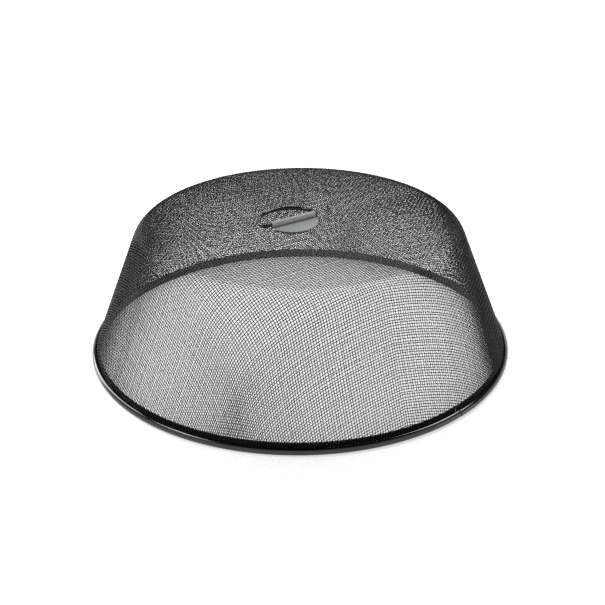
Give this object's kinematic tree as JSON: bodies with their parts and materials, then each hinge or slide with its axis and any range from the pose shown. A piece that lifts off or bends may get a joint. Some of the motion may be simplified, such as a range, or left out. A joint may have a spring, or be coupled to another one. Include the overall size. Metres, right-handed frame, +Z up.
{
  "type": "food cover",
  "caption": "Round food cover of black woven wire mesh in a folded steel rim, with a flat-topped dome and a folding lifting ring on a half-moon plate.",
  "frame": {"origin": "middle of the rim's underside, on the surface that the cover stands on", "axes": "+Z up through the crown, -Y towards the front of the picture, +X to its right"},
  "size_m": [0.3, 0.3, 0.1027],
  "materials": {
    "mesh_wire": "black enamelled steel wire, semi-gloss",
    "rim_enamel": "gloss black enamel on folded steel strip",
    "hoop_zinc": "bright zinc-plated steel wire",
    "plate_enamel": "satin grey enamel on pressed steel",
    "ring_enamel": "gloss black enamel on bent steel wire",
    "backing_enamel": "satin grey enamel on pressed steel"
  },
  "bodies": {
    "cover": {"mesh_dome": "mesh_wire", "rim_channel": "rim_enamel", "rim_hoop_wire": "hoop_zinc", "handle_plate": "plate_enamel", "handle_backing_plate": "backing_enamel"},
    "ring": {"handle_ring": "ring_enamel"}
  },
  "joints": [
    {"name": "ring_fold", "type": "hinge", "parent": "cover", "child": "ring", "pos_m": [-0.0042, -0.0092, 0.1005], "axis": [0.848, 0.5299, 0], "range_deg": [0, 184]}
  ]
}
